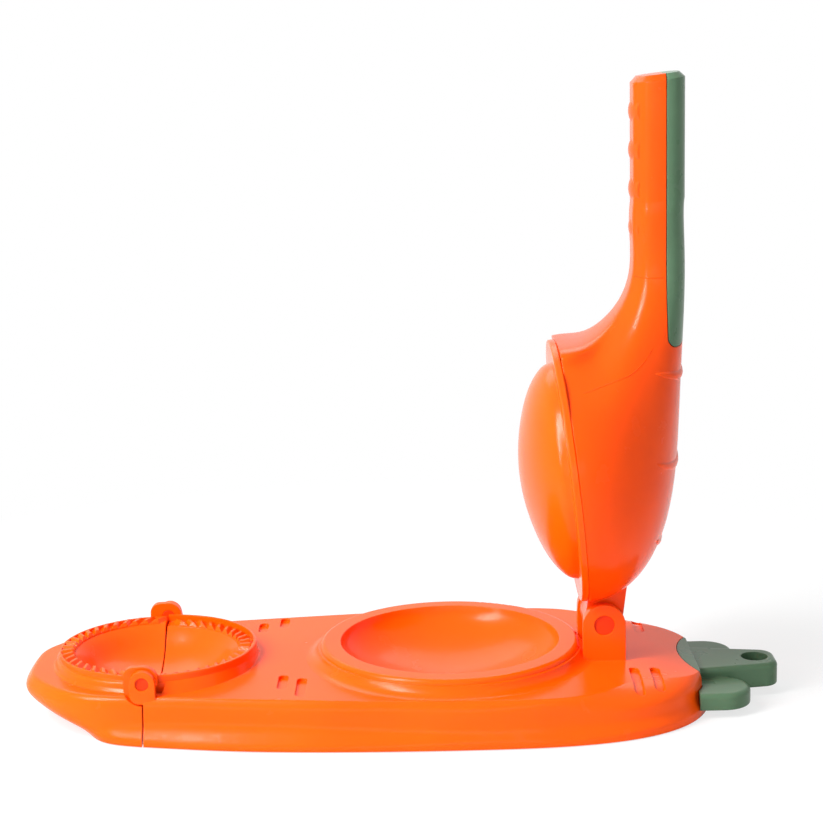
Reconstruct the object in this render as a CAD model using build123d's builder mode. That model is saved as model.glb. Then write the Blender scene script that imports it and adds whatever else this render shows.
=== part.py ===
from build123d import *
import math
import os

# Wrapper press with a round dish, a folding crimper in the nose and a hinged lid.
# X runs along the length, nose at minus X and leaf tail at plus X.
# Z is up and zero is the table under the foot pads. Lengths are in millimetres.

# Overall levels
pad_proud = 0.6
foot_z = pad_proud
deck_z = 20.0
rim_z = 26.7
wall = 2.6

# Dish
dish_x = 21.0
dish_r_out = 57.1
rim_band = 8.9
dish_r_in = dish_r_out - rim_band
bowl_depth = 20.7
bowl_wall = 2.4
dish_flare = 6.5
rim_round = 2.2
groove_in = 5.1
groove_out = 2.4
groove_h = 11.4

# Crimper
ring_r_out = 43.8
rim_t = 1.2
rim_up = 1.2
teeth_r_out = 41.4
teeth_r_in = 35.6
crimp_bowl_depth = 17.5
crimp_z = 25.8
tooth_h = 1.8
tooth_gap = 0.9
tooth_count = 22
tooth_slant = 38.0

# Stations along the length
ring_gap = 28.5
hinge_x = dish_x - dish_r_out - ring_gap - ring_r_out
pin_back = 9.6
pin_x = dish_x + dish_r_out + pin_back
pin_z = rim_z + 9.2
split_gap = 0.6
seam_back = 43.4
seam_x = dish_x + dish_r_out + seam_back

# Crimper hinge
ear_out_y = 51.5
ear_t = 3.8
ear_r = 5.4
side_gap = 0.3
lug_r = 6.2
lug_corner_r = 4.2
lug_corner_back = 4.1
lug_corner_up = 1.9
lug_t = 3.2
lug_room = 0.5
ear_room_r = 9.4
crimp_pin_r = 2.85
running_fit = 0.05
pin_recess = 0.7

# Lid hinge
lid_ear_out_y = 16.5
lid_ear_t = 4.8
lid_ear_r = 9.2
knuckle_r = 8.4
lid_pin_r = 4.4

# Lid
closed_gap = 0.3
lid_open = 83.9
disc_u = pin_x - dish_x
disc_drop = pin_z - rim_z - closed_gap
plate_t = 3.0
dough_gap = 1.5
dome_clear = 0.9
dome_depth = bowl_depth - dough_gap
dome_r = dish_r_in - dome_clear
dome_wall = 2.4
shell_wall = 2.6
spigot_clear = 1.9
spigot_t = 1.4
spigot_r = dish_r_out - shell_wall - spigot_clear
neck_reach = 34.7
handle_start_u = disc_u + dish_r_out + neck_reach
handle_len = 72.0
handle_tip_u = handle_start_u + handle_len
handle_slope = 0.1055
handle_half_w = 14.0
handle_front = 36.4
handle_back = 58.7
tip_chamfer = 2.4

# Tail
tail_reach = 43.4
tail_tip_x = seam_x + tail_reach
leaf_root_half_w = 16.4
leaf_tip_half_w = 9.9
leaf_corner = 7.0
hang_r = 5.9
hang_back = 9.3
hang_x = tail_tip_x - hang_back
leaf_top_z = 15.0
leaf_bottom_z = 4.5
leaf_round = 2.2
side_leaf_r = 12.5
side_leaf_x = seam_x + 15.5
side_leaf_y = 25.0
side_leaf_top_z = 10.9
side_leaf_bottom_z = 3.6
seam_r = 50.0
collar_end_x = seam_x + 6.8
tail_gap = 0.3

# Foot pads
pad_r = 5.0
pad_t = 2.0
pad_fit = 0.1


def half_spline_outline(points, tip_x, start_x):
    # closed outline from stations of (x, half width) and a rounded tip
    pts = [(x, -w) for x, w in points] + [(tip_x, 0)]
    with BuildLine() as ln:
        near = Spline(*pts, tangents=[(pts[1][0] - pts[0][0], pts[1][1] - pts[0][1]), (0, 1)],
                      tangent_scalars=[1.0, 1.0])
        mirror(near, about=Plane.XZ)
        Line((start_x, -points[0][1]), (start_x, points[0][1]))
    return ln.line


base_start = hinge_x + split_gap / 2

# Plan of the base: stations along it, then how far the foot, the side and the flat of the deck
# stand out beyond the dish at each of them
plan_x = [base_start, hinge_x + 24.7, hinge_x + 65.9, dish_x - 22.0, dish_x + 19.0,
          seam_x - 40.5, seam_x - 19.5, seam_x - 5.5, seam_x + 5.0]
plan_foot = [0.0, 4.9, 9.9, 11.7, 11.8, 8.0, 1.2, -7.9, -20.8]
plan_side = [-4.7, -1.2, 4.0, 7.9, 9.2, 5.1, -1.6, -11.8, -26.8]
plan_deck = [-7.5, -4.1, 1.0, 5.2, 6.4, 0.4, -20.0, -32.0, -46.0]
foot_tip = seam_x + 13.0
side_tip = seam_x + 11.0
deck_tip = seam_x + 8.5
side_z = 13.5
# Height and share of the way from foot to side, then from side to deck
lower_side = [(foot_z, 0.0), (3.2, 0.05), (6.2, 0.52), (9.5, 0.88), (side_z, 1.0)]
upper_side = [(16.0, 0.12), (18.0, 0.36), (19.3, 0.68), (deck_z, 1.0)]


def base_section(z, low, high, inset, start_x):
    pts = []
    for x, wf, ws, wd in zip(plan_x, plan_foot, plan_side, plan_deck):
        wide = dish_r_out + wf + (ws - wf) * low + (wd - ws) * high
        xx = start_x if x == base_start else x - (inset * 0.4 if x > seam_x - 10 else 0)
        pts.append((xx, wide - inset))
    tip = foot_tip + (side_tip - foot_tip) * low + (deck_tip - side_tip) * high - inset
    with BuildSketch(Plane.XY.offset(z)) as sk:
        with BuildLine():
            add(half_spline_outline(pts, tip, start_x))
        make_face()
    return sk.sketch


def loft_sections(sections):
    with BuildPart() as lp:
        for s in sections:
            add(s)
        loft()
    return lp.part


outer_sections = [base_section(z, s, 0, 0, base_start) for z, s in lower_side]
outer_sections += [base_section(z, 1, s, 0, base_start) for z, s in upper_side]
base_outer = loft_sections(outer_sections)

# Roll-off of the deck towards the tail, as a block above an arc
roll_x = seam_x - 32.0
roll_end_x = seam_x + 14.0
roll_drop = 4.6


def roll_block(lower):
    dx = roll_end_x - roll_x
    rad = (dx * dx + roll_drop * roll_drop) / (2 * roll_drop)
    mid = (roll_x + dx / 2, deck_z - lower - rad + math.sqrt(rad * rad - dx * dx / 4))
    with BuildPart() as rb:
        with BuildSketch(Plane.XZ.offset(-80)) as sk:
            with BuildLine():
                ThreePointArc((roll_x, deck_z - lower), mid, (roll_end_x, deck_z - lower - roll_drop))
                Line((roll_end_x, deck_z - lower - roll_drop), (roll_end_x, 40))
                Line((roll_end_x, 40), (roll_x, 40))
                Line((roll_x, 40), (roll_x, deck_z - lower))
            make_face()
        extrude(amount=160)
    return rb.part


with BuildPart() as body:
    add(base_outer)
    add(roll_block(0), mode=Mode.SUBTRACT)


def revolved(points_fn, cx, cz):
    # solid of revolution about the vertical through cx, profile drawn in (radius, height above cz)
    pl = Plane(origin=(cx, 0, cz), x_dir=(1, 0, 0), z_dir=(0, -1, 0))
    with BuildPart() as rp:
        with BuildSketch(pl):
            with BuildLine():
                points_fn()
            make_face()
        revolve(axis=Axis((cx, 0, cz), (0, 0, 1)))
    return rp.part


def slab(x0, x1, y0, y1, z0, z1):
    with BuildPart() as sp:
        with Locations(((x0 + x1) / 2, (y0 + y1) / 2, (z0 + z1) / 2)):
            Box(x1 - x0, y1 - y0, z1 - z0)
    return sp.part


def cross_cylinder(x, z, r, y0, y1):
    # cylinder along Y between y0 and y1
    with BuildPart() as cp:
        with BuildSketch(Plane(origin=(x, y0, z), x_dir=(1, 0, 0), z_dir=(0, 1, 0))):
            Circle(r)
        extrude(amount=y1 - y0)
    return cp.part


def upright(x, y, r, z0, z1):
    with BuildPart() as up:
        with BuildSketch(Plane.XY.offset(z0)):
            with Locations((x, y)):
                Circle(r)
        extrude(amount=z1 - z0)
    return up.part


# Curve shared by the bowl and the dome as (share of the mouth radius, share of the depth)
bowl_curve = [(0.50, 0.826), (0.73, 0.623), (0.90, 0.367), (0.985, 0.116)]


def bowl_line(r, d, lift):
    # spline from the axis at depth d up to the mouth radius r
    pts = [(0, lift - d)] + [(r * a, lift - d * b) for a, b in bowl_curve] + [(r, lift)]
    Spline(*pts, tangents=[(1, 0), (0.35, 1)])


# Dish profiles, heights from the rim plane
def dish_outside():
    foot = deck_z - rim_z
    wide = dish_r_out + dish_flare
    Line((0, foot - 1.5), (wide, foot - 1.5))
    Line((wide, foot - 1.5), (wide, foot))
    RadiusArc((wide, foot), (dish_r_out + 0.9, foot + 4.4), 6.2)
    Line((dish_r_out + 0.9, foot + 4.4), (dish_r_out, -rim_round))
    RadiusArc((dish_r_out, -rim_round), (dish_r_out - rim_round, 0), -rim_round)
    Line((dish_r_out - rim_round, 0), (0, 0))
    Line((0, 0), (0, foot - 1.5))


def dish_hollow():
    bowl_line(dish_r_in, bowl_depth, 0)
    Line((dish_r_in, 0), (dish_r_in, 6))
    Line((dish_r_in, 6), (0, 6))
    Line((0, 6), (0, -bowl_depth))


def dish_underside():
    bowl_line(dish_r_in + bowl_wall, bowl_depth + bowl_wall, 0)
    Line((dish_r_in + bowl_wall, 0), (0, 0))
    Line((0, 0), (0, -bowl_depth - bowl_wall))


def rim_groove():
    Polyline((dish_r_out - groove_in, -2.6 - groove_h), (dish_r_out - groove_out, -2.6 - groove_h),
             (dish_r_out - groove_out, -2.6), (dish_r_out - groove_in, -2.6), close=True)


# Crimper profiles, heights from the hinge plane
moving_valley = -0.6
moving_ridge = moving_valley + tooth_h
fixed_valley = -(moving_ridge + tooth_gap)
fixed_ridge = fixed_valley + tooth_h
rim_in_r = ring_r_out - rim_t
lip_r = rim_in_r - 0.35
lip_top = moving_ridge - 0.4


def ring_foot():
    foot = deck_z - crimp_z
    Line((0, foot - 1.5), (ring_r_out + 1.6, foot - 1.5))
    Line((ring_r_out + 1.6, foot - 1.5), (ring_r_out + 1.6, foot))
    Line((ring_r_out + 1.6, foot), (ring_r_out + 0.5, foot + 1.3))


def fixed_ring_outside():
    foot = deck_z - crimp_z
    ring_foot()
    Line((ring_r_out + 0.5, foot + 1.3), (ring_r_out, rim_up - 0.5))
    RadiusArc((ring_r_out, rim_up - 0.5), (ring_r_out - 0.5, rim_up), -0.5)
    Line((ring_r_out - 0.5, rim_up), (0, rim_up))
    Line((0, rim_up), (0, foot - 1.5))


def moving_ring_outside():
    # shoulder that passes inside the raised rim of the fixed half when folded
    foot = deck_z - crimp_z
    ring_foot()
    Line((ring_r_out + 0.5, foot + 1.3), (ring_r_out - 0.2, -rim_up - 1.2))
    RadiusArc((ring_r_out - 0.2, -rim_up - 1.2), (lip_r, -rim_up - 0.4), -1.4)
    Line((lip_r, -rim_up - 0.4), (lip_r, lip_top))
    Line((lip_r, lip_top), (0, lip_top))
    Line((0, lip_top), (0, foot - 1.5))


def ring_hollow(valley, outer):
    def draw():
        Spline((0, -crimp_bowl_depth), (17.0, -14.9), (28.0, -9.4), (teeth_r_in, valley - 0.4),
               tangents=[(1, 0), (1, 0.75)])
        Line((teeth_r_in, valley - 0.4), (teeth_r_in + 0.6, valley))
        Line((teeth_r_in + 0.6, valley), (outer, valley))
        Line((outer, valley), (outer, 8))
        Line((outer, 8), (0, 8))
        Line((0, 8), (0, -crimp_bowl_depth))
    return draw


def ring_underside(valley):
    def draw():
        Spline((0, -crimp_bowl_depth - bowl_wall), (18.0, -17.2), (29.8, -11.6), (teeth_r_in + 1.8, valley - 3.2),
               tangents=[(1, 0), (1, 0.6)])
        Line((teeth_r_in + 1.8, valley - 3.2), (ring_r_out + 1.0, valley - 3.2))
        Line((ring_r_out + 1.0, valley - 3.2), (ring_r_out + 1.0, 0))
        Line((ring_r_out + 1.0, 0), (0, 0))
        Line((0, 0), (0, -crimp_bowl_depth - bowl_wall))
    return draw


def teeth(side, valley, ridge, shift):
    # slanted ridges round one half of the ring, side is +1 for the fixed half
    step = 180.0 / (tooth_count + 1.4)
    mid_r = (teeth_r_in + teeth_r_out) / 2
    long = (teeth_r_out - teeth_r_in) * 1.9
    width = mid_r * math.radians(step) * math.cos(math.radians(tooth_slant))
    with BuildPart() as tp:
        for k in range(tooth_count):
            a = (k - (tooth_count - 1) / 2 + shift) * step
            slant = tooth_slant * max(-1.0, min(1.0, a / 22.0))
            local = width * math.cos(math.radians(slant)) / math.cos(math.radians(tooth_slant))
            ang = a if side > 0 else 180 - a
            turn = ang + (slant if side > 0 else -slant)
            cx = hinge_x + mid_r * math.cos(math.radians(ang))
            cy = mid_r * math.sin(math.radians(ang))
            d = Vector(math.cos(math.radians(turn)), math.sin(math.radians(turn)), 0)
            n = Vector(-d.Y, d.X, 0)
            pl = Plane(origin=(cx, cy, crimp_z + valley), x_dir=n, z_dir=d)
            up = 1.0 if pl.y_dir.Z > 0 else -1.0
            with BuildSketch(pl):
                with BuildLine():
                    Polyline((-local * 0.46, -0.3 * up), (local * 0.46, -0.3 * up), (local * 0.44, 0),
                             (local * 0.14, (ridge - valley) * up), (-local * 0.14, (ridge - valley) * up),
                             (-local * 0.44, 0), close=True)
                make_face()
            extrude(amount=long / 2, both=True)
    ring = revolved(lambda: Polyline((teeth_r_in + 0.2, valley - 0.3), (teeth_r_out - 0.1, valley - 0.3),
                                     (teeth_r_out - 0.1, ridge + 0.1), (teeth_r_in + 1.2, ridge + 0.1),
                                     (teeth_r_in + 0.2, valley + 0.3), close=True), hinge_x, crimp_z)
    with BuildPart() as cut:
        add(tp.part)
        add(ring, mode=Mode.INTERSECT)
    return cut.part


def hinge_tab(x, z, r, y0, y1, left, right, bottom, corner):
    # upright tab with a round head about the pin axis
    with BuildPart() as ht:
        with BuildSketch(Plane(origin=(0, y0, 0), x_dir=(1, 0, 0), z_dir=(0, -1, 0))) as sk:
            with Locations((x, z)):
                Circle(r)
            with BuildLine():
                Polyline((x - left, z), (x - left, bottom), (x + right, bottom), (x + right, z), close=True)
            make_face()
            if corner > 0:
                low = [v for v in sk.vertices() if abs(v.Y - bottom) < 0.01 and v.X < x]
                fillet(low, corner)
        extrude(amount=-(y1 - y0))
    return ht.part


def lug_tab():
    # folding lug, boxy towards the nose, on a foot that stands on the deck
    with BuildPart() as lt:
        with BuildSketch(Plane(origin=(0, lug_in_y, 0), x_dir=(1, 0, 0), z_dir=(0, -1, 0))) as sk:
            with Locations((hinge_x, crimp_z)):
                Circle(lug_r)
            with Locations((hinge_x - lug_corner_back, crimp_z + lug_corner_up)):
                Circle(lug_corner_r)
            make_hull()
            left = hinge_x - lug_corner_back - lug_corner_r
            with BuildLine():
                Polyline((left, crimp_z + lug_corner_up), (left, deck_z - 2.0), (hinge_x - 0.5, deck_z - 2.0),
                         (hinge_x - 0.5, crimp_z + lug_corner_up), close=True)
            make_face()
        extrude(amount=-lug_t)
    return lt.part


lug_in_y = ear_out_y - ear_t - side_gap - lug_t
lug_out_y = ear_out_y - ear_t - side_gap
pocket_r = math.hypot(lug_corner_back, lug_corner_up) + lug_corner_r + lug_room

far_right = slab(hinge_x + split_gap / 2, hinge_x + 200, -90, 90, -5, 60)
far_left = slab(hinge_x - 200, hinge_x - split_gap / 2, -90, 90, -5, 60)


def half(part, keep):
    with BuildPart() as hp:
        add(part)
        add(keep, mode=Mode.INTERSECT)
    return hp.part


# Sloping apron round the fixed half, wide at the ears and running out at the dish side
def apron():
    with BuildPart() as ap:
        with BuildSketch(Plane.XY.offset(deck_z - 0.8)):
            with Locations((hinge_x, 0)):
                Ellipse(ring_r_out + 1.4, ear_out_y - 1.6)
        with BuildSketch(Plane.XY.offset(crimp_z - 1.6)):
            with Locations((hinge_x, 0)):
                Ellipse(ring_r_out - 0.2, ring_r_out + 0.6)
        loft()
    return half(ap.part, far_right)


# Hollow of the base from below
side_wall = 3.2
end_wall = 2.8
cav_low = [(foot_z - 1.0, 0.0), (3.2, 0.12), (6.2, 0.56), (9.5, 0.9), (side_z - wall, 1.0)]
cav_high = [(18.0 - wall, 0.36), (deck_z - wall, 1.0)]
cavity_sections = [base_section(z, s, 0, side_wall, base_start + end_wall) for z, s in cav_low]
cavity_sections += [base_section(z, 1, s, side_wall, base_start + end_wall) for z, s in cav_high]
cavity_raw = loft_sections(cavity_sections)

pad_x = [hinge_x + 31.4, seam_x - 26.5]
pad_y = 40.0
pad_spots = [(x, s * pad_y) for x in pad_x for s in (1, -1)]
screw_y = 14.0
screw_r = 1.3
screw_clear = 0.3
screw_head_r = 3.0
screw_spots = [(seam_x - 14.0, s * screw_y) for s in (1, -1)]
tongue_z0 = 6.0
tongue_z1 = 9.0
tongue_half_w = 24.0
tongue_reach = 22.0

with BuildPart() as cavity:
    add(cavity_raw)
    add(roll_block(wall), mode=Mode.SUBTRACT)
    add(upright(seam_x + seam_r, 0, seam_r + 5.0, -5, 60), mode=Mode.SUBTRACT)
    add(revolved(dish_underside, dish_x, rim_z), mode=Mode.SUBTRACT)
    add(revolved(ring_underside(fixed_valley), hinge_x, crimp_z), mode=Mode.SUBTRACT)
    for s in (-1, 1):
        back = cross_cylinder(hinge_x, crimp_z, pocket_r + bowl_wall, 40.0, 52.0)
        add(back if s > 0 else back.mirror(Plane.XZ), mode=Mode.SUBTRACT)
    for x, y in pad_spots:
        add(upright(x, y, pad_r + 2.0, -2, 25), mode=Mode.SUBTRACT)
    for x, y in screw_spots:
        add(upright(x, y, screw_r + 2.9, tongue_z1, 25), mode=Mode.SUBTRACT)

# Dashes in the deck as (x, y, length), four by the crimper and four by the tail
dash_w = 4.3
dash_deep = 1.3
dashes = [(hinge_x + 57.6, -35.2, 17.6), (hinge_x + 65.7, -42.0, 22.4), (hinge_x + 44.1, 41.6, 13.4),
          (hinge_x + 53.6, 48.4, 13.6)]
dashes += [(seam_x - 22.5, s * 39.5, 27.0) for s in (1, -1)]
dashes += [(seam_x - 13.5, s * 36.5, 23.0) for s in (1, -1)]

with BuildPart() as dash_cuts:
    for x, y, ln in dashes:
        with BuildSketch(Plane.XY.offset(deck_z - 8.0)):
            with Locations((x, y)):
                SlotOverall(ln, dash_w, rotation=90)
        extrude(amount=14.0)
    add(Pos(0, 0, -dash_deep) * body.part, mode=Mode.SUBTRACT)

lid_tab_in = lid_ear_out_y - lid_ear_t

with BuildPart() as base_tray:
    add(body.part)
    add(revolved(dish_outside, dish_x, rim_z))
    add(half(revolved(fixed_ring_outside, hinge_x, crimp_z), far_right))
    add(apron())
    # pockets for the folding lugs, then the ears outside them
    for s in (-1, 1):
        pocket = cross_cylinder(hinge_x, crimp_z, pocket_r, lug_in_y - side_gap, ear_out_y - ear_t)
        add(pocket if s > 0 else pocket.mirror(Plane.XZ), mode=Mode.SUBTRACT)
        e0 = ear_out_y - ear_t
        tab = hinge_tab(hinge_x, crimp_z, ear_r, e0, ear_out_y, ear_r, ear_r, 17.1, 4.2)
        add(tab if s > 0 else tab.mirror(Plane.XZ))
        lid_tab = hinge_tab(pin_x, pin_z, lid_ear_r, lid_tab_in, lid_ear_out_y, lid_ear_r, lid_ear_r,
                            deck_z - 2, 0)
        add(lid_tab if s > 0 else lid_tab.mirror(Plane.XZ))
    add(cavity.part, mode=Mode.SUBTRACT)
    add(revolved(rim_groove, dish_x, rim_z), mode=Mode.SUBTRACT)
    add(revolved(dish_hollow, dish_x, rim_z), mode=Mode.SUBTRACT)
    add(half(revolved(ring_hollow(fixed_valley, rim_in_r), hinge_x, crimp_z), far_right),
        mode=Mode.SUBTRACT)
    add(half(teeth(1, fixed_valley, fixed_ridge, 0), far_right))
    # pin bores
    add(cross_cylinder(hinge_x, crimp_z, crimp_pin_r, -ear_out_y - 5, -lug_in_y), mode=Mode.SUBTRACT)
    add(cross_cylinder(hinge_x, crimp_z, crimp_pin_r, lug_in_y, ear_out_y + 5), mode=Mode.SUBTRACT)
    add(cross_cylinder(pin_x, pin_z, lid_pin_r, -30, 30), mode=Mode.SUBTRACT)
    # notch in the rim between the lid ears
    add(slab(dish_x + dish_r_out - 1.6, dish_x + dish_r_out + 3, -lid_tab_in, lid_tab_in, rim_z - 3, rim_z + 3),
        mode=Mode.SUBTRACT)
    # pad seats and screw bores
    for x, y in pad_spots:
        add(upright(x, y, pad_r + pad_fit, -1, pad_t), mode=Mode.SUBTRACT)
    for x, y in screw_spots:
        add(upright(x, y, screw_r, 5, tongue_z1 + 6.0), mode=Mode.SUBTRACT)
    add(dash_cuts.part, mode=Mode.SUBTRACT)
    # tail end: round notch for the collar and a slot for its tongue
    add(upright(seam_x + seam_r, 0, seam_r, -5, 60), mode=Mode.SUBTRACT)
    add(slab(seam_x - 8, seam_x + 12, -tongue_half_w - tail_gap, tongue_half_w + tail_gap,
             tongue_z0 - tail_gap, tongue_z1), mode=Mode.SUBTRACT)


# Nose flap: stations as (distance ahead of the hinge, half width), one list per height
nose_z = [foot_z, 3.2, 6.2, 9.5, 13.5, 17.0, deck_z]
nose_tip = [29.0, 34.3, 43.8, 52.0, 56.2, 55.8, 53.6]
nose_x = [
    [0, 8.0, 16.0, 23.0, 27.2],
    [0, 9.0, 18.0, 26.5, 31.8],
    [0, 11.0, 22.0, 33.0, 40.5],
    [0, 12.0, 25.0, 38.0, 47.6],
    [0, 12.0, 26.0, 40.0, 51.0],
    [0, 12.0, 26.0, 39.6, 50.5],
    [0, 12.0, 25.5, 38.4, 48.6],
]
nose_w = [
    [57.1, 55.0, 51.3, 43.0, 29.0],
    [56.9, 54.9, 50.8, 42.0, 28.0],
    [54.6, 52.8, 48.8, 40.0, 26.5],
    [53.0, 51.4, 47.6, 38.8, 25.5],
    [52.4, 50.9, 47.0, 38.2, 25.0],
    [51.9, 50.4, 46.4, 37.6, 24.6],
    [51.2, 49.6, 45.6, 36.4, 23.6],
]


def nose_section(z, xs, ws, tip, inset, start):
    pts = []
    for x, w in zip(xs, ws):
        xx = hinge_x - split_gap / 2 - start if x == 0 else hinge_x - x + inset * 0.5
        pts.append((xx, -(w - inset)))
    pts.append((hinge_x - tip + inset, 0))
    with BuildSketch(Plane.XY.offset(z)) as sk:
        with BuildLine():
            near = Spline(*pts, tangents=[(pts[1][0] - pts[0][0], pts[1][1] - pts[0][1]), (0, 1)])
            mirror(near, about=Plane.XZ)
            Line(pts[0], (pts[0][0], -pts[0][1]))
        make_face()
    return sk.sketch


nose_outer = loft_sections([nose_section(z, xs, ws, t, 0, 0)
                            for z, xs, ws, t in zip(nose_z, nose_x, nose_w, nose_tip)])
nose_cav_z = [foot_z - 1.0, 3.2 + 1.5, 6.2 + 1.8, 9.5 + 2.0, 13.5 + 1.5, deck_z - wall]
nose_pad_y = 38.0
nose_pad_r = 4.0
nose_pads = [(hinge_x - 13.0, s * nose_pad_y) for s in (1, -1)]

with BuildPart() as nose_cavity:
    add(loft_sections([nose_section(z, nose_x[i], nose_w[i], nose_tip[i], side_wall, end_wall)
                       for i, z in enumerate(nose_cav_z)]))
    add(revolved(ring_underside(moving_valley), hinge_x, crimp_z), mode=Mode.SUBTRACT)
    for s in (-1, 1):
        back = cross_cylinder(hinge_x, crimp_z, ear_room_r + side_wall, 41.0, 54.0)
        add(back if s > 0 else back.mirror(Plane.XZ), mode=Mode.SUBTRACT)
    for x, y in nose_pads:
        add(upright(x, y, nose_pad_r + 2.0, -2, 25), mode=Mode.SUBTRACT)

with BuildPart() as crimper_flap:
    add(nose_outer)
    top_edges = crimper_flap.edges().filter_by(lambda e: e.center().Z > deck_z - 0.5 and e.length > 12
                                               and abs(e.center().X - hinge_x) > 1)
    fillet(top_edges, 2.6)
    add(half(revolved(moving_ring_outside, hinge_x, crimp_z), far_left))
    for s in (-1, 1):
        # room for the ear of the base, then the lug with its foot on the ring wall
        room = cross_cylinder(hinge_x, crimp_z, ear_room_r, lug_out_y, 70)
        add(room if s > 0 else room.mirror(Plane.XZ), mode=Mode.SUBTRACT)
        lug = lug_tab()
        add(lug if s > 0 else lug.mirror(Plane.XZ))
        web = slab(hinge_x - lug_r, hinge_x - 0.6, teeth_r_out, lug_in_y + 0.1, deck_z - 2.0,
                   crimp_z - rim_up - 0.5)
        add(web if s > 0 else web.mirror(Plane.XZ))
    add(nose_cavity.part, mode=Mode.SUBTRACT)
    add(half(revolved(ring_hollow(moving_valley, teeth_r_out), hinge_x, crimp_z),
             slab(hinge_x - 200, hinge_x, -teeth_r_out - 0.1, teeth_r_out + 0.1, -5, 60)), mode=Mode.SUBTRACT)
    add(half(teeth(-1, moving_valley, moving_ridge, 0.5), far_left))
    for s in (-1, 1):
        bore = cross_cylinder(hinge_x, crimp_z, crimp_pin_r + running_fit, lug_in_y - 0.3, 60)
        add(bore if s > 0 else bore.mirror(Plane.XZ), mode=Mode.SUBTRACT)
    for x, y in nose_pads:
        add(upright(x, y, nose_pad_r + pad_fit, -1, pad_t), mode=Mode.SUBTRACT)

# Crimper pins, pressed into the ears
pin_front = cross_cylinder(hinge_x, crimp_z, crimp_pin_r, -ear_out_y + pin_recess, -lug_in_y)
pin_rear = cross_cylinder(hinge_x, crimp_z, crimp_pin_r, lug_in_y, ear_out_y - pin_recess)

# Lid in its closed position, u runs from the pin towards the handle tip, v up from the dish side
lid_z = rim_z + closed_gap
disc_far = neck_reach + 2 * dish_r_out
# Sections that fan up from the rim of the disc to the handle, as
# (angle, near distance, far distance, half width, squareness)
fan = [(0, neck_reach, disc_far, dish_r_out, 2.0),
       (8, neck_reach + 0.3, disc_far - 4.6, dish_r_out - 2.5, 2.05),
       (16, neck_reach + 1.3, disc_far - 20.6, dish_r_out - 9.1, 2.1),
       (34, neck_reach + 1.8, disc_far - 61.9, dish_r_out - 26.1, 2.2),
       (60, 36.3, 63.5, 17.8, 2.4),
       (90, handle_front, handle_back, handle_half_w, 2.6)]
grip_rise = handle_len * handle_slope
pivot = (pin_x - handle_start_u, 0, lid_z + plate_t)


def oval(pl, s0, s1, b, n, inset):
    # rounded section between distances s0 and s1 from the pivot, half width b
    mid = (s0 + s1) / 2
    a = (s1 - s0) / 2 - inset
    pts = [(mid + a, 0)]
    for i in range(1, 6):
        t = math.pi * i / 6
        c = math.cos(t)
        pts.append((mid + a * math.copysign(abs(c) ** (2 / n), c), (b - inset) * math.sin(t) ** (2 / n)))
    pts.append((mid - a, 0))
    with BuildSketch(pl) as sk:
        with BuildLine():
            side = Spline(*pts, tangents=[(0, 1), (0, -1)])
            mirror(side, about=Plane.XZ)
        make_face()
    return sk.sketch


def fan_plane(angle):
    r = math.radians(angle)
    return Plane(origin=pivot, x_dir=(math.cos(r), 0, math.sin(r)), z_dir=(-math.sin(r), 0, math.cos(r)))


def grip_plane(u):
    return Plane(origin=(pin_x - u, 0, pivot[2]), x_dir=(0, 0, 1), z_dir=(-1, 0, 0))


def grip_oval(u, inset):
    rise = (u - handle_start_u) * handle_slope
    return oval(grip_plane(u), handle_front + rise, handle_back + rise, handle_half_w, 2.6, inset)


grip_join_u = handle_start_u + 20.0
fan_sections = [oval(fan_plane(f[0]), f[1], f[2], f[3], f[4], 0) for f in fan]
fan_form = loft_sections(fan_sections + [grip_oval(grip_join_u, 0)])
lid_inner = loft_sections([oval(fan_plane(f[0]), f[1], f[2], f[3], f[4], shell_wall) for f in fan[:4]])

with BuildPart() as grip_form:
    for u, inset in ((grip_join_u, 0), (handle_tip_u - tip_chamfer, 0), (handle_tip_u, tip_chamfer)):
        add(grip_oval(u, inset))
    loft(ruled=True)

with BuildPart() as lid_whole:
    add(fan_form)
    add(grip_form.part)
lid_form = lid_whole.part

# Joint line between the two halves of the handle
seam_u0 = handle_start_u - 35.9
seam_v0 = 49.0
cover_end_u = handle_start_u - 37.9


def handle_prism(grow):
    # side view of the cover, drawn in x and z of the closed lid and run across the handle
    def at(u, v):
        return (pin_x - u, lid_z + v)
    g = grow
    end = handle_tip_u + 9.5
    with BuildPart() as hp:
        with BuildSketch(Plane(origin=(0, -30, 0), x_dir=(1, 0, 0), z_dir=(0, -1, 0))):
            with BuildLine():
                a = at(seam_u0, seam_v0 - g)
                b = at(end, seam_v0 - g + handle_slope * (end - seam_u0))
                Line(a, b)
                Line(b, at(end, 90))
                Line(at(end, 90), at(cover_end_u - g, 90))
                Line(at(cover_end_u - g, 90), at(cover_end_u - g, 57.2))
                ThreePointArc(at(cover_end_u - g, 57.2), at(cover_end_u - 3.0 - g, 52.6), a)
            make_face()
        extrude(amount=-60)
    return hp.part


def knuckle():
    def at(u, v):
        return (pin_x - u, lid_z + v)
    half_w = lid_tab_in - side_gap
    with BuildPart() as kp:
        with BuildSketch(Plane(origin=(0, -half_w, 0), x_dir=(1, 0, 0), z_dir=(0, -1, 0))):
            with Locations((pin_x, pin_z)):
                Circle(knuckle_r)
            with BuildLine():
                Polyline(at(0, disc_drop - knuckle_r), at(9.7, 3.1), at(22, 3.1), at(22, 23), at(13.5, 20.5),
                         at(0, disc_drop + knuckle_r), close=True)
            make_face()
        extrude(amount=-2 * half_w)
    return kp.part


def dome_line(inset):
    def draw():
        bowl_line(dome_r - inset, dome_depth - inset, 0)
        Line((dome_r - inset, 0), (dome_r - inset, 1.0))
        Line((dome_r - inset, 1.0), (0, 1.0))
        Line((0, 1.0), (0, inset - dome_depth))
    return draw


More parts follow.
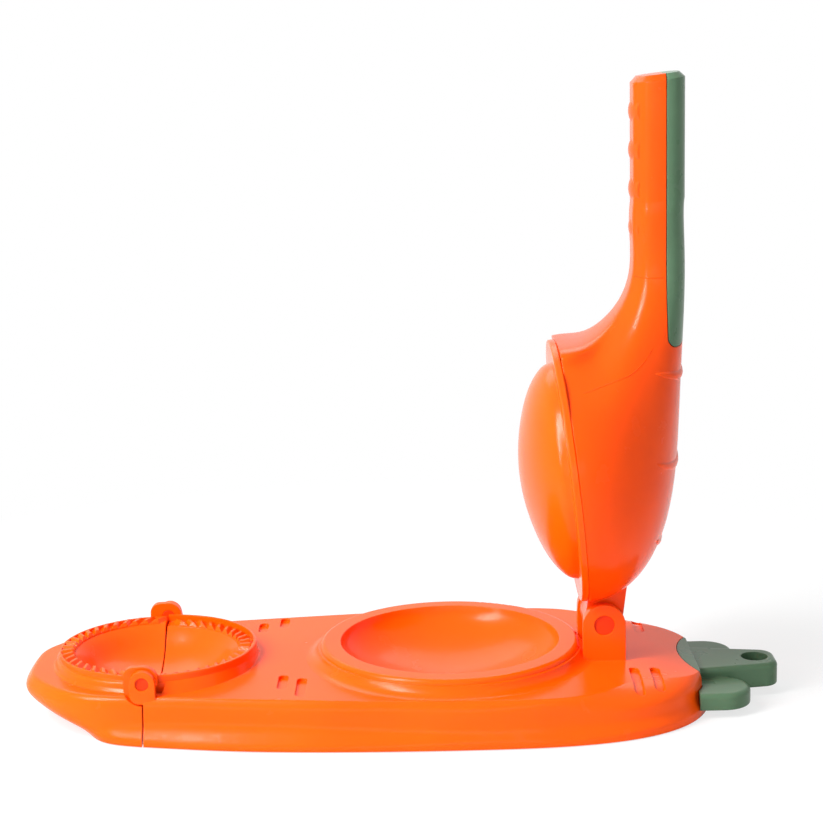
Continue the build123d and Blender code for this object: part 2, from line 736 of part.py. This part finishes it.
with BuildPart() as dome_flange:
    with Locations((dish_x, 0, lid_z + plate_t / 2)):
        Cylinder(dish_r_out, plate_t)
    chamfer(dome_flange.edges().filter_by(GeomType.CIRCLE), 0.4)

with BuildPart() as press_dome_closed:
    add(dome_flange.part)
    add(revolved(dome_line(0), dish_x, lid_z))
    add(revolved(dome_line(dome_wall), dish_x, lid_z), mode=Mode.SUBTRACT)
    add(upright(dish_x, 0, dome_r - dome_wall, lid_z + 0.9, lid_z + 8), mode=Mode.SUBTRACT)
    with BuildSketch(Plane.XY.offset(lid_z + plate_t)):
        with Locations((dish_x, 0)):
            Circle(spigot_r)
            Circle(spigot_r - spigot_t, mode=Mode.SUBTRACT)
    extrude(amount=3.0)

# Finger ridges, rings about the length of the handle of which the front shows
ridge_count = 4
ridge_pitch = 16.1
ridge_tube_r = 9.0
ridge_ring_r = 20.0
ridge_proud = 1.1
ridge_half_w = 10.0

with BuildPart() as ridge_rings:
    tilt = math.degrees(math.atan(handle_slope))
    for k in range(ridge_count):
        du = 7.8 + ridge_pitch * k
        front = lid_z + plate_t + handle_front + handle_slope * du
        with Locations(Location((pin_x - handle_start_u - du, 0, front + ridge_ring_r - ridge_proud),
                                (0, tilt - 90, 0))):
            Torus(ridge_ring_r - ridge_tube_r, ridge_tube_r)
    add(slab(pin_x - handle_tip_u, pin_x - handle_start_u + 10, -ridge_half_w, ridge_half_w,
             lid_z + handle_front - 10, lid_z + plate_t + handle_front + grip_rise + 1.5), mode=Mode.INTERSECT)
finger_ridges = ridge_rings.part

with BuildPart() as lid_shell_closed:
    add(lid_form)
    add(knuckle())
    add(lid_inner, mode=Mode.SUBTRACT)
    add(handle_prism(tail_gap), mode=Mode.SUBTRACT)
    add(cross_cylinder(pin_x, pin_z, lid_pin_r + running_fit, -30, 30), mode=Mode.SUBTRACT)
    # finger ridges on the front of the handle
    add(finger_ridges)

with BuildPart() as handle_cover_closed:
    add(lid_form)
    add(handle_prism(0), mode=Mode.INTERSECT)

opened = Pos(pin_x, 0, pin_z) * Rot(0, lid_open, 0) * Pos(-pin_x, 0, -pin_z)
lid_shell = opened * lid_shell_closed.part
press_dome = opened * press_dome_closed.part
handle_cover = opened * handle_cover_closed.part
lid_pin = cross_cylinder(pin_x, pin_z, lid_pin_r, -lid_ear_out_y + pin_recess, lid_ear_out_y - pin_recess)

# Leaf tail: collar in the notch, middle leaf with the hanging hole, two side leaves and a tongue
with BuildPart() as middle_leaf:
    with BuildSketch(Plane.XY.offset(leaf_bottom_z)):
        with BuildLine():
            Polyline((collar_end_x - 2.0, -leaf_root_half_w), (tail_tip_x, -leaf_tip_half_w),
                     (tail_tip_x, leaf_tip_half_w), (collar_end_x - 2.0, leaf_root_half_w), close=True)
        face = make_face()
        fillet(face.vertices().group_by(Axis.X)[-1], leaf_corner)
    extrude(amount=leaf_top_z - leaf_bottom_z)
    rim = middle_leaf.edges().group_by(Axis.Z)[-1].filter_by(lambda e: e.center().X > collar_end_x - 1.0)
    fillet(rim, leaf_round)
    low = middle_leaf.edges().group_by(Axis.Z)[0].filter_by(lambda e: e.center().X > collar_end_x - 1.0)
    fillet(low, 0.8)

with BuildPart() as side_leaf:
    with BuildSketch(Plane.XY.offset(side_leaf_bottom_z)):
        with Locations((side_leaf_x, side_leaf_y)):
            Circle(side_leaf_r)
        with Locations(((collar_end_x - 2.0 + side_leaf_x) / 2, side_leaf_y)):
            Rectangle(side_leaf_x - collar_end_x + 2.0, 2 * side_leaf_r)
    extrude(amount=side_leaf_top_z - side_leaf_bottom_z)
    rim = side_leaf.edges().group_by(Axis.Z)[-1].filter_by(lambda e: e.center().X > collar_end_x - 1.0)
    fillet(rim, leaf_round)
    low = side_leaf.edges().group_by(Axis.Z)[0].filter_by(lambda e: e.center().X > collar_end_x - 1.0)
    fillet(low, 0.8)

# The two corners of the base beside the notch, kept clear of the side leaves
with BuildPart() as notch_corners:
    add(Pos(tail_gap + 0.1, 0, 0) * body.part)
    add(slab(seam_x - 5, seam_x + 40, -90, 90, -5, 60), mode=Mode.INTERSECT)
    add(upright(seam_x + seam_r, 0, seam_r - tail_gap, -5, 60), mode=Mode.SUBTRACT)

with BuildPart() as leaf_tail:
    add(body.part)
    add(upright(seam_x + seam_r, 0, seam_r - tail_gap, foot_z + 0.6, 60), mode=Mode.INTERSECT)
    add(slab(seam_x - 5, collar_end_x, -60, 60, -5, 60), mode=Mode.INTERSECT)
    add(middle_leaf.part)
    add(side_leaf.part)
    add(side_leaf.part.mirror(Plane.XZ))
    add(notch_corners.part, mode=Mode.SUBTRACT)
    add(slab(seam_x - tongue_reach, seam_x + 9.0, -tongue_half_w, tongue_half_w, tongue_z0, tongue_z1))
    with Locations((hang_x, 0, leaf_bottom_z)):
        Cylinder(hang_r, 40, mode=Mode.SUBTRACT)
    for x, y in screw_spots:
        add(upright(x, y, screw_r + screw_clear, -5, 30), mode=Mode.SUBTRACT)

with BuildPart() as tail_screws:
    for x, y in screw_spots:
        add(upright(x, y, screw_r, tongue_z0 - 0.4, tongue_z1 + 5.6))
        add(upright(x, y, screw_head_r, tongue_z0 - 2.2, tongue_z0))

with BuildPart() as foot_pads:
    for x, y in pad_spots:
        add(upright(x, y, pad_r, 0, pad_t))

with BuildPart() as nose_foot_pads:
    for x, y in nose_pads:
        add(upright(x, y, nose_pad_r, 0, pad_t))

os.makedirs("parts", exist_ok=True)
pieces = [
    ("base_tray", base_tray.part),
    ("crimper_flap", crimper_flap.part),
    ("crimper_pin_front", pin_front),
    ("crimper_pin_rear", pin_rear),
    ("lid_shell", lid_shell),
    ("press_dome", press_dome),
    ("handle_cover", handle_cover),
    ("lid_pin", lid_pin),
    ("leaf_tail", leaf_tail.part),
    ("tail_screws", tail_screws.part),
    ("foot_pads", foot_pads.part),
    ("nose_foot_pads", nose_foot_pads.part),
]
for name, piece in pieces:
    piece.label = name
    export_step(piece, "parts/" + name + ".step")
    box = piece.bounding_box()
    print(name, round(piece.volume), len(piece.solids()), piece.is_valid,
          [round(v, 1) for v in (box.min.X, box.max.X, box.min.Y, box.max.Y, box.min.Z, box.max.Z)])
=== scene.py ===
import math

import bpy
from mathutils import Matrix, Vector


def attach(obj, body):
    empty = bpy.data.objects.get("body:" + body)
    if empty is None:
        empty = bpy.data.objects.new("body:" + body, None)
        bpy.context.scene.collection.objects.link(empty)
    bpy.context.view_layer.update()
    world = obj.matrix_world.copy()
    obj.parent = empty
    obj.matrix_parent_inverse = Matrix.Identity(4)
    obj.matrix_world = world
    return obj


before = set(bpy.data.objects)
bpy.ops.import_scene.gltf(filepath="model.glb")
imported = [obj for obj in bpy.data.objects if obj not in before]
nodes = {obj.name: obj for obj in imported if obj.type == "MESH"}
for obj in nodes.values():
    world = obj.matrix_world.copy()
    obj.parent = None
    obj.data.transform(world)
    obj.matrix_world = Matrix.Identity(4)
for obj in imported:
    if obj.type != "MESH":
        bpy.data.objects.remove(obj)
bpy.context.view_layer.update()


# colours
def linear(r, g, b):
    # a colour as written in sRGB, 0 to 255, in the linear values that the shaders take
    out = []
    for v in (r, g, b):
        v = v / 255.0
        out.append(v / 12.92 if v <= 0.04045 else ((v + 0.055) / 1.055) ** 2.4)
    return (out[0], out[1], out[2], 1.0)


# materials
class Nodes:
    # a material's node tree, with short calls for the textures used here
    def __init__(self, name):
        self.mat = bpy.data.materials.new(name)
        self.mat.use_nodes = True
        self.tree = self.mat.node_tree
        self.tree.nodes.clear()
        self.out = self.tree.nodes.new("ShaderNodeOutputMaterial")
        self.bsdf = self.tree.nodes.new("ShaderNodeBsdfPrincipled")
        self.link(self.bsdf.outputs[0], self.out.inputs["Surface"])
        self.coord = self.tree.nodes.new("ShaderNodeTexCoord")

    def link(self, a, b):
        self.tree.links.new(a, b)

    def noise(self, scale, detail=3.0, rough=0.55):
        n = self.tree.nodes.new("ShaderNodeTexNoise")
        n.inputs["Scale"].default_value = scale
        n.inputs["Detail"].default_value = detail
        n.inputs["Roughness"].default_value = rough
        self.link(self.coord.outputs["Object"], n.inputs["Vector"])
        return n.outputs["Fac"]

    def ramp(self, fac, low, high, a=0.35, b=0.65):
        n = self.tree.nodes.new("ShaderNodeValToRGB")
        n.color_ramp.elements[0].position = a
        n.color_ramp.elements[0].color = low
        n.color_ramp.elements[1].position = b
        n.color_ramp.elements[1].color = high
        self.link(fac, n.inputs["Fac"])
        return n.outputs["Color"]

    def span(self, fac, lo, hi):
        n = self.tree.nodes.new("ShaderNodeMapRange")
        n.inputs["From Min"].default_value = 0.3
        n.inputs["From Max"].default_value = 0.7
        n.inputs["To Min"].default_value = lo
        n.inputs["To Max"].default_value = hi
        self.link(fac, n.inputs["Value"])
        return n.outputs["Result"]

    def bump(self, height, strength, distance, normal=None):
        n = self.tree.nodes.new("ShaderNodeBump")
        n.inputs["Strength"].default_value = strength
        n.inputs["Distance"].default_value = distance
        self.link(height, n.inputs["Height"])
        if normal is not None:
            self.link(normal, n.inputs["Normal"])
        return n.outputs["Normal"]

    def round_edges(self, radius):
        n = self.tree.nodes.new("ShaderNodeBevel")
        n.samples = 6
        n.inputs["Radius"].default_value = radius
        return n.outputs["Normal"]


plastic_ior = 1.49
plastic_specular = 0.11
coat_roughness = 0.07
glow_reach = (0.004, 0.0014, 0.0005)
glow_scale = 0.6


def moulded(name, base, shade, rough, coat, edge, glow=0.0):
    # injection-moulded plastic with flow marks, sink marks and a fine skin texture
    m = Nodes(name)
    b = m.bsdf
    flow_marks = m.noise(14.0, 2.0)
    sheen = m.noise(60.0, 4.0)
    sink_marks = m.noise(38.0, 2.0)
    skin = m.noise(1500.0, 2.0)
    m.link(m.ramp(flow_marks, linear(*shade), linear(*base)), b.inputs["Base Color"])
    m.link(m.span(sheen, *rough), b.inputs["Roughness"])
    b.inputs["IOR"].default_value = plastic_ior
    b.inputs["Specular IOR Level"].default_value = plastic_specular
    b.inputs["Coat Weight"].default_value = coat
    b.inputs["Coat Roughness"].default_value = coat_roughness
    if glow > 0:
        b.inputs["Subsurface Weight"].default_value = glow
        b.inputs["Subsurface Radius"].default_value = glow_reach
        b.inputs["Subsurface Scale"].default_value = glow_scale
    n = m.round_edges(edge)
    n = m.bump(sink_marks, 0.10, 0.0005, n)
    n = m.bump(skin, 0.05, 0.00005, n)
    m.link(n, b.inputs["Normal"])
    return m.mat


def steel():
    # bright zinc-plated screw steel
    m = Nodes("screw_steel")
    b = m.bsdf
    b.inputs["Metallic"].default_value = 1.0
    tone = m.ramp(m.noise(400.0), linear(170, 172, 176), linear(196, 198, 202))
    m.link(tone, b.inputs["Base Color"])
    m.link(m.span(m.noise(900.0), 0.26, 0.40), b.inputs["Roughness"])
    m.link(m.bump(m.noise(2500.0), 0.1, 0.00003), b.inputs["Normal"])
    return m.mat


orange = moulded("orange_plastic", (252, 88, 4), (249, 83, 3), (0.20, 0.28), 0.07, 0.0007, 0.08)
# painted shade: a darker copy of the orange, for the shade on the lid shell's sides; the lid's ribs and
# seams take it too
lid_painted_shade = moulded("lid_plastic_painted_shade", (250, 80, 4), (245, 74, 3), (0.20, 0.28), 0.08, 0.0007, 0.08)
# painted light: a lighter copy of the orange, for the light falling on the press dome
dome_painted_light = moulded("dome_plastic_painted_light", (252, 90, 5), (249, 84, 4), (0.18, 0.26), 0.12, 0.0007, 0.08)
# painted shade: a darker, redder orange on the pins, for the shade in the ear holes where their ends sit
pin_painted_shade = moulded("pin_plastic_painted_shade", (226, 58, 6), (216, 50, 4), (0.30, 0.38), 0.06, 0.0004, 0.05)
green = moulded("green_plastic", (84, 112, 86), (78, 106, 80), (0.25, 0.34), 0.10, 0.0008, 0.04)
green_strip = moulded("green_strip_plastic", (91, 121, 94), (85, 115, 88), (0.25, 0.34), 0.10, 0.0008, 0.04)
pad_foam = moulded("pad_foam", (58, 58, 60), (50, 50, 52), (0.72, 0.85), 0.0, 0.0003)

finishes = {
    "base_tray": orange,
    "crimper_flap": orange,
    "crimper_pin_front": pin_painted_shade,
    "crimper_pin_rear": pin_painted_shade,
    "lid_shell": lid_painted_shade,
    "press_dome": dome_painted_light,
    "handle_cover": green_strip,
    "lid_pin": pin_painted_shade,
    "leaf_tail": green,
    "tail_screws": steel(),
    "foot_pads": pad_foam,
    "nose_foot_pads": pad_foam,
}
for name, mat in finishes.items():
    slots = nodes[name].data.materials
    slots.clear()
    slots.append(mat)


# raised ribs and mould seams on the lid
bead_sides = 12
bead_steps = 25
bead_squash = 1.5
bead_end = 0.06
far_off = 0.2


def surface_point(ob, origin, direction):
    hit, place, normal, _ = ob.ray_cast(Vector(origin), Vector(direction))
    return (place, normal) if hit else None


def lid_bead(name, start_points, direction, radius, sunk):
    # a tapered bead on the lid shell, under the points as seen along the direction
    found = [surface_point(nodes["lid_shell"], p, direction) for p in start_points]
    found = [f for f in found if f is not None]
    count = len(found)
    verts = []
    for i, (place, normal) in enumerate(found):
        t = 2.0 * i / (count - 1) - 1.0
        r = radius * max(bead_end, math.sqrt(max(0.0, 1.0 - t * t)))
        along = (found[min(i + 1, count - 1)][0] - found[max(i - 1, 0)][0]).normalized()
        side = along.cross(normal).normalized()
        centre = place - normal * (r * sunk)
        for k in range(bead_sides):
            a = 2.0 * math.pi * k / bead_sides
            verts.append(centre + side * (r * bead_squash * math.cos(a)) + normal * (r * math.sin(a)))
    faces = []
    for i in range(count - 1):
        for k in range(bead_sides):
            a = i * bead_sides + k
            b = i * bead_sides + (k + 1) % bead_sides
            faces.append((a, b, b + bead_sides, a + bead_sides))
    faces.append(tuple(range(bead_sides))[::-1])
    faces.append(tuple((count - 1) * bead_sides + k for k in range(bead_sides)))
    mesh = bpy.data.meshes.new(name)
    mesh.from_pydata(verts, [], faces)
    mesh.polygons.foreach_set("use_smooth", [True] * len(mesh.polygons))
    # the bead takes the lid's darker orange, with its painted shade
    mesh.materials.append(lid_painted_shade)
    ob = bpy.data.objects.new(name, mesh)
    bpy.context.scene.collection.objects.link(ob)
    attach(ob, "lid")


def lid_ribs():
    # like the rings of a carrot, in turn from either side: middle across, height, half length, sag
    rib_radius = 0.0015
    rib_sunk = 0.45
    rows = ((-0.013, 0.148, 0.015, 0.0030),
            (0.016, 0.131, 0.019, 0.0040),
            (-0.019, 0.112, 0.020, 0.0042),
            (0.015, 0.093, 0.018, 0.0036),
            (-0.012, 0.076, 0.015, 0.0030))
    for k, (across, height, half, sag) in enumerate(rows):
        starts = []
        for i in range(bead_steps):
            t = 2.0 * i / (bead_steps - 1) - 1.0
            starts.append((far_off, across + half * t, height - sag * (1.0 - t * t)))
        lid_bead("lid_rib_%d" % (k + 1), starts, (-1, 0, 0), rib_radius, rib_sunk)


def mould_seams():
    # faint seams on both sides of the lid, one under the neck and one round it
    # name, first end in x and z, last end in x and z, extra rise at the last end
    seam_radius = 0.0003
    seam_sunk = 0.4
    bend_start = 0.6
    rows = (("mould_line", 0.077, 0.142, 0.1075, 0.152, 0.006),
            ("neck_line", 0.0985, 0.1866, 0.1135, 0.1862, 0.0))
    for name, x0, z0, x1, z1, lift in rows:
        for tag, side in (("near", -1), ("far", 1)):
            starts = []
            for i in range(bead_steps):
                t = i / (bead_steps - 1)
                bend = lift * max(0.0, (t - bend_start) / (1.0 - bend_start)) ** 2
                starts.append((x0 + (x1 - x0) * t, far_off * side, z0 + (z1 - z0) * t + bend))
            lid_bead("%s_%s" % (name, tag), starts, (0, -side, 0), seam_radius, seam_sunk)


lid_ribs()
mould_seams()


# floor and world
def any_ray(t, path):
    # one where the ray comes from the camera, a glossy or a transmitting surface
    a = t.nodes.new("ShaderNodeMath")
    a.operation = "MAXIMUM"
    t.links.new(path.outputs["Is Camera Ray"], a.inputs[0])
    t.links.new(path.outputs["Is Glossy Ray"], a.inputs[1])
    b = t.nodes.new("ShaderNodeMath")
    b.operation = "MAXIMUM"
    t.links.new(a.outputs[0], b.inputs[0])
    t.links.new(path.outputs["Is Transmission Ray"], b.inputs[1])
    return b.outputs[0]


white = (1, 1, 1, 1)
floor_half = 6.0
floor_grey = (0.86, 0.86, 0.86, 1)
fade_near = 0.18
fade_far = 0.42
white_share_near = 0.74
fill_strength = 0.40


def make_floor():
    # pale paper that keeps the shadow near the object and fades to white away from it
    mesh = bpy.data.meshes.new("floor_mesh")
    s = floor_half
    mesh.from_pydata([(-s, -s, 0), (s, -s, 0), (s, s, 0), (-s, s, 0)], [], [(0, 1, 2, 3)])
    ob = bpy.data.objects.new("floor", mesh)
    bpy.context.scene.collection.objects.link(ob)
    mat = bpy.data.materials.new("floor_paper")
    mat.use_nodes = True
    t = mat.node_tree
    t.nodes.clear()
    out = t.nodes.new("ShaderNodeOutputMaterial")
    diffuse = t.nodes.new("ShaderNodeBsdfDiffuse")
    diffuse.inputs["Color"].default_value = floor_grey
    glow = t.nodes.new("ShaderNodeEmission")
    glow.inputs["Color"].default_value = white
    glow.inputs["Strength"].default_value = 1.0
    path = t.nodes.new("ShaderNodeLightPath")
    seen = any_ray(t, path)
    coord = t.nodes.new("ShaderNodeTexCoord")
    away = t.nodes.new("ShaderNodeVectorMath")
    away.operation = "LENGTH"
    t.links.new(coord.outputs["Object"], away.inputs[0])
    fade = t.nodes.new("ShaderNodeMapRange")
    fade.inputs["From Min"].default_value = fade_near
    fade.inputs["From Max"].default_value = fade_far
    fade.inputs["To Min"].default_value = white_share_near
    fade.inputs["To Max"].default_value = 1.0
    t.links.new(away.outputs["Value"], fade.inputs["Value"])
    share = t.nodes.new("ShaderNodeMath")
    share.operation = "MULTIPLY"
    t.links.new(seen, share.inputs[0])
    t.links.new(fade.outputs["Result"], share.inputs[1])
    mix = t.nodes.new("ShaderNodeMixShader")
    t.links.new(share.outputs[0], mix.inputs[0])
    t.links.new(diffuse.outputs[0], mix.inputs[1])
    t.links.new(glow.outputs[0], mix.inputs[2])
    t.links.new(mix.outputs[0], out.inputs["Surface"])
    mesh.materials.append(mat)


def make_world():
    # white where the camera or a reflection looks, a softer fill for all other light
    world = bpy.data.worlds.new("studio")
    bpy.context.scene.world = world
    world.use_nodes = True
    t = world.node_tree
    t.nodes.clear()
    out = t.nodes.new("ShaderNodeOutputWorld")
    fill = t.nodes.new("ShaderNodeBackground")
    fill.inputs["Color"].default_value = white
    fill.inputs["Strength"].default_value = fill_strength
    seen = t.nodes.new("ShaderNodeBackground")
    seen.inputs["Color"].default_value = white
    seen.inputs["Strength"].default_value = 1.0
    path = t.nodes.new("ShaderNodeLightPath")
    mix = t.nodes.new("ShaderNodeMixShader")
    t.links.new(any_ray(t, path), mix.inputs[0])
    t.links.new(fill.outputs[0], mix.inputs[1])
    t.links.new(seen.outputs[0], mix.inputs[2])
    t.links.new(mix.outputs[0], out.inputs["Surface"])


def area(name, place, aim, wide, high, power):
    # a soft box, sizes in metres and power in watts
    data = bpy.data.lights.new(name, "AREA")
    data.shape = "RECTANGLE"
    data.size = wide
    data.size_y = high
    data.energy = power
    ob = bpy.data.objects.new(name, data)
    bpy.context.scene.collection.objects.link(ob)
    ob.location = place
    ob.rotation_euler = (Vector(aim) - Vector(place)).to_track_quat("-Z", "Y").to_euler()


make_floor()
make_world()
area("key_box", (-0.95, -0.65, 0.85), (0.0, 0.0, 0.06), 0.6, 0.6, 14.0)
area("left_strip", (-0.60, -0.42, 0.52), (0.05, 0.0, 0.14), 0.12, 0.6, 3.5)
area("neck_box", (-0.64, -0.42, 1.06), (0.10, -0.02, 0.17), 0.36, 0.36, 10.0)
area("front_low", (-0.25, -1.3, 0.35), (0.0, 0.0, 0.04), 1.2, 0.3, 1.8)
area("back_box", (-0.1, 1.1, 1.1), (0.0, 0.0, 0.05), 1.4, 0.6, 6.0)


# camera
image_width_px = 823.0
focal_px = 1952.0
sensor_width_mm = 36.0
camera_place = Vector((0.0071, -0.82567, 0.29326))
camera_yaw = math.radians(-0.05)
camera_pitch = math.radians(11.26)
camera_roll = math.radians(-1.3)


def make_camera():
    # at the photograph's angle: looking down, with a slight roll
    level = math.cos(camera_pitch)
    ahead = Vector((math.sin(camera_yaw) * level, math.cos(camera_yaw) * level, -math.sin(camera_pitch)))
    right = Vector((math.cos(camera_yaw), -math.sin(camera_yaw), 0.0))
    up = right.cross(ahead)
    rolled_right = right * math.cos(camera_roll) + up * math.sin(camera_roll)
    rolled_up = up * math.cos(camera_roll) - right * math.sin(camera_roll)
    data = bpy.data.cameras.new("camera")
    data.sensor_fit = "HORIZONTAL"
    data.sensor_width = sensor_width_mm
    data.lens = sensor_width_mm * (focal_px / image_width_px)
    data.clip_start = 0.01
    data.clip_end = 30.0
    ob = bpy.data.objects.new("camera", data)
    bpy.context.scene.collection.objects.link(ob)
    m = Matrix.Identity(4)
    for column, v in enumerate((rolled_right, rolled_up, -ahead, camera_place)):
        for row in range(3):
            m[row][column] = v[row]
    ob.matrix_world = m
    bpy.context.scene.camera = ob


make_camera()
bpy.context.scene.view_settings.view_transform = "Standard"
